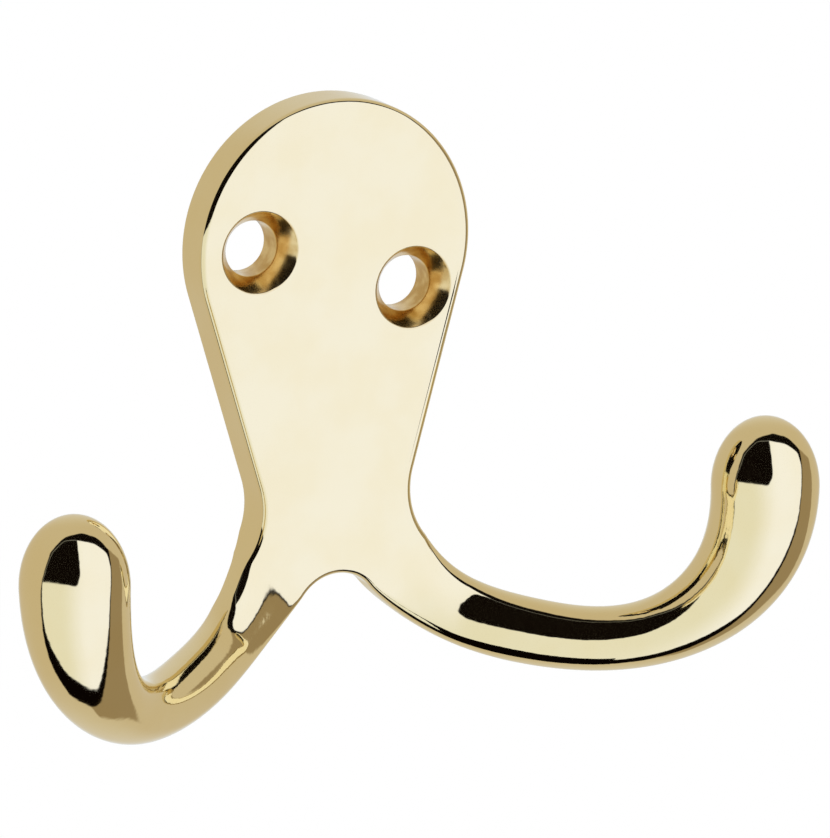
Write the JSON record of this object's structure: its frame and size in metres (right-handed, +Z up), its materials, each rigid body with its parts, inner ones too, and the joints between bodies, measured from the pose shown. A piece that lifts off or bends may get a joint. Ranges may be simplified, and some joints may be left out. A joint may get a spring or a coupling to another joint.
{
  "type": "double robe hook",
  "caption": "Wall hook cast in one piece: a flat pear-shaped plate with slanted countersunk screw holes, and round arms that curve out and up from its foot to thick rounded ends.",
  "frame": {"origin": "on the wall, on the plate's back face, midway between the centres of the screw holes", "axes": "+X to the right along the widest extent, +Y into the wall, +Z up; the arms stand out towards -Y"},
  "size_m": [0.0796, 0.0263, 0.0544],
  "materials": {
    "polished_brass": "polished"
  },
  "bodies": {
    "root": {"hook_casting": "polished_brass"}
  },
  "joints": []
}
